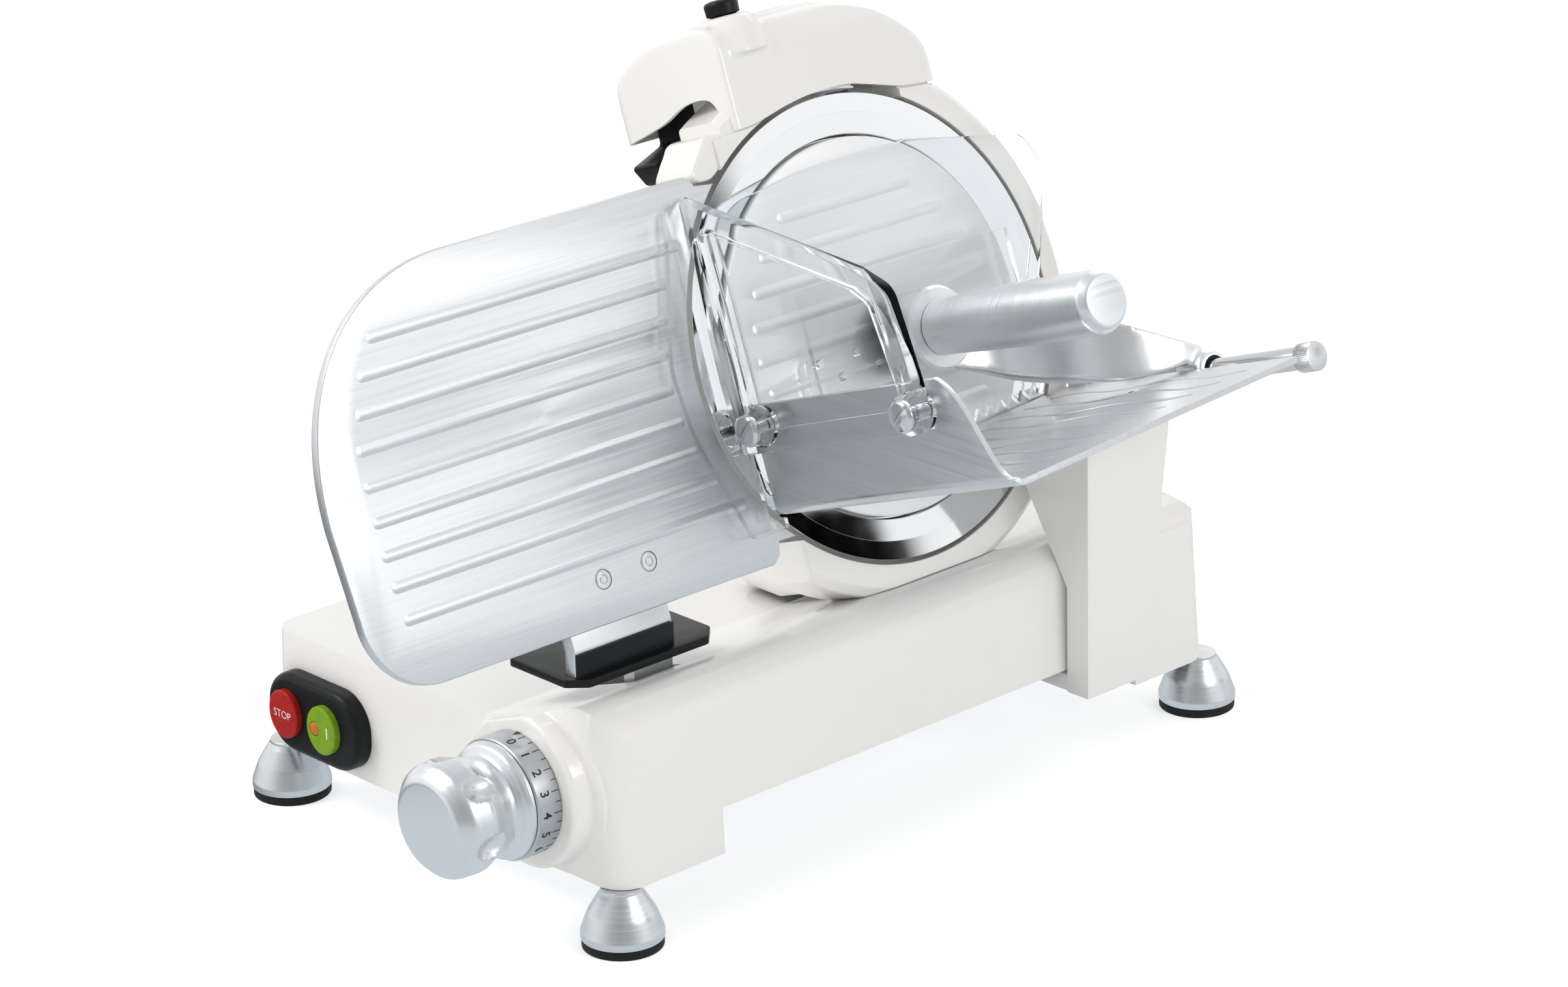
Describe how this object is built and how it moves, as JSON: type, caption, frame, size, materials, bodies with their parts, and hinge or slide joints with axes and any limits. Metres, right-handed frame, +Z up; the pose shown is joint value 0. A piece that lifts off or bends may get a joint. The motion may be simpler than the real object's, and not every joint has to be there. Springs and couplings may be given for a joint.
{
  "type": "food slicer",
  "caption": "Gravity food slicer with a tilted round blade, ribbed gauge plate, sliding tray with hinged pusher, sharpener hood and four turned feet.",
  "frame": {"origin": "middle of the footprint of the whole slicer at the table top", "axes": "+X to the operator's right, +Y away from the operator along the carriage's travel, +Z up"},
  "size_m": [0.4348, 0.5766, 0.427],
  "materials": {
    "cream_enamel": "gloss",
    "aluminium": "satin",
    "steel": "satin",
    "polished_steel": "polished",
    "motor_steel": "matte",
    "rubber": "matte",
    "black_plastic": "satin",
    "red_plastic": "gloss",
    "green_plastic": "gloss",
    "amber_lens": "gloss",
    "abrasive": "matte",
    "clear_plastic": "gloss"
  },
  "bodies": {
    "base": {"base_casting": "cream_enamel", "bottom_cover": "steel", "foot_cone_front_left": "aluminium", "foot_cone_front_right": "aluminium", "foot_cone_rear_left": "aluminium", "foot_cone_rear_right": "aluminium", "foot_pad_front_left": "rubber", "foot_pad_front_right": "rubber", "foot_pad_rear_left": "rubber", "foot_pad_rear_right": "rubber", "switch_housing": "black_plastic", "gauge_guide_bar": "steel", "carriage_guide_rod": "steel", "blade_housing": "cream_enamel", "axle_bearing": "steel", "motor_body": "motor_steel", "motor_cover": "cream_enamel", "drive_belt": "rubber", "cord_gland": "black_plastic", "sharpener_mast": "steel", "blade_cover": "aluminium"},
    "gauge": {"gauge_plate": "aluminium", "gauge_rivet_1": "aluminium", "gauge_rivet_2": "aluminium", "gauge_bracket": "aluminium", "shroud_plate": "black_plastic", "gauge_slide_block": "aluminium"},
    "knob": {"thickness_knob": "aluminium", "dial_ring": "aluminium", "knob_shaft": "steel"},
    "blade_rotor": {"blade": "polished_steel", "blade_pulley": "aluminium", "blade_axle": "steel"},
    "motor_rotor": {"motor_pulley": "steel"},
    "sharpener": {"sharpener_hood": "cream_enamel", "sharpener_yoke": "aluminium", "sharpener_gutter": "black_plastic"},
    "clamp": {"clamp_knob": "black_plastic"},
    "stone": {"grinding_stone": "abrasive", "stone_spindle": "steel"},
    "carriage": {"carriage_column": "cream_enamel", "carriage_slide_block": "aluminium", "tray": "aluminium", "bed_screw_1": "steel", "bed_screw_2": "steel", "bed_screw_3": "steel", "front_guard": "clear_plastic", "guard_screw_1": "steel", "guard_screw_2": "steel", "pusher_rod": "steel", "rod_end_cap": "steel"},
    "bush": {"pusher_bush": "black_plastic"},
    "pusher": {"pusher_arm": "aluminium", "handle": "aluminium", "hand_shield": "clear_plastic", "pusher_plate": "clear_plastic"},
    "stop": {"stop_button": "red_plastic"},
    "start": {"start_button": "green_plastic", "pilot_lamp": "amber_lens"},
    "tie": {"tie_rod": "steel"}
  },
  "joints": [
    {"name": "gauge_slide", "type": "slide", "parent": "base", "child": "gauge", "axis": [-0.9442, 0, -0.3294], "range_m": [0, 0.015]},
    {"name": "thickness_turn", "type": "hinge", "parent": "base", "child": "knob", "pos_m": [0.02964, -0.24873, 0.077], "axis": [0, -1, 0], "range_deg": [0, 300]},
    {"name": "blade_spin", "type": "hinge", "parent": "base", "child": "blade_rotor", "pos_m": [0.01369, 0.08267, 0.25585], "axis": [0.9442, 0, 0.3294], "continuous": true},
    {"name": "motor_spin", "type": "hinge", "parent": "base", "child": "motor_rotor", "pos_m": [0.04168, 0.08267, 0.17559], "axis": [0.9442, 0, 0.3294], "continuous": true},
    {"name": "sharpener_lift", "type": "slide", "parent": "base", "child": "sharpener", "axis": [-0.3294, 0, 0.9442], "range_m": [0, 0.024]},
    {"name": "clamp_turn", "type": "hinge", "parent": "sharpener", "child": "clamp", "pos_m": [-0.05364, 0.04367, 0.41241], "axis": [-0.3294, 0, 0.9442], "range_deg": [0, 180]},
    {"name": "stone_press", "type": "slide", "parent": "sharpener", "child": "stone", "axis": [0.9442, 0, 0.3294], "range_m": [0, 0.005], "stiffness_N_per_m": 400, "springref_m": -0.003},
    {"name": "carriage_slide", "type": "slide", "parent": "base", "child": "carriage", "axis": [0, -1, 0], "range_m": [0, 0.245]},
    {"name": "pusher_slide", "type": "slide", "parent": "carriage", "child": "bush", "axis": [0.9442, 0, 0.3294], "range_m": [0, 0.062]},
    {"name": "pusher_swing", "type": "hinge", "parent": "bush", "child": "pusher", "pos_m": [0.13239, 0.21068, 0.22524], "axis": [-0.9442, 0, -0.3294], "range_deg": [0, 100]},
    {"name": "stop_press", "type": "slide", "parent": "base", "child": "stop", "axis": [0, 1, 0], "range_m": [0, 0.003], "stiffness_N_per_m": 500, "springref_m": -0.002},
    {"name": "start_press", "type": "slide", "parent": "base", "child": "start", "axis": [0, 1, 0], "range_m": [0, 0.003], "stiffness_N_per_m": 500, "springref_m": -0.002},
    {"name": "cover_tie_turn", "type": "hinge", "parent": "base", "child": "tie", "pos_m": [-0.09962, 0.08267, 0.21633], "axis": [0.9442, 0, 0.3294], "range_deg": [0, 360]}
  ],
  "couplings": [
    {"joint": "thickness_turn", "follows": "gauge_slide", "rad_per_m": 349},
    {"joint": "motor_spin", "follows": "blade_spin", "ratio": 3.75}
  ]
}
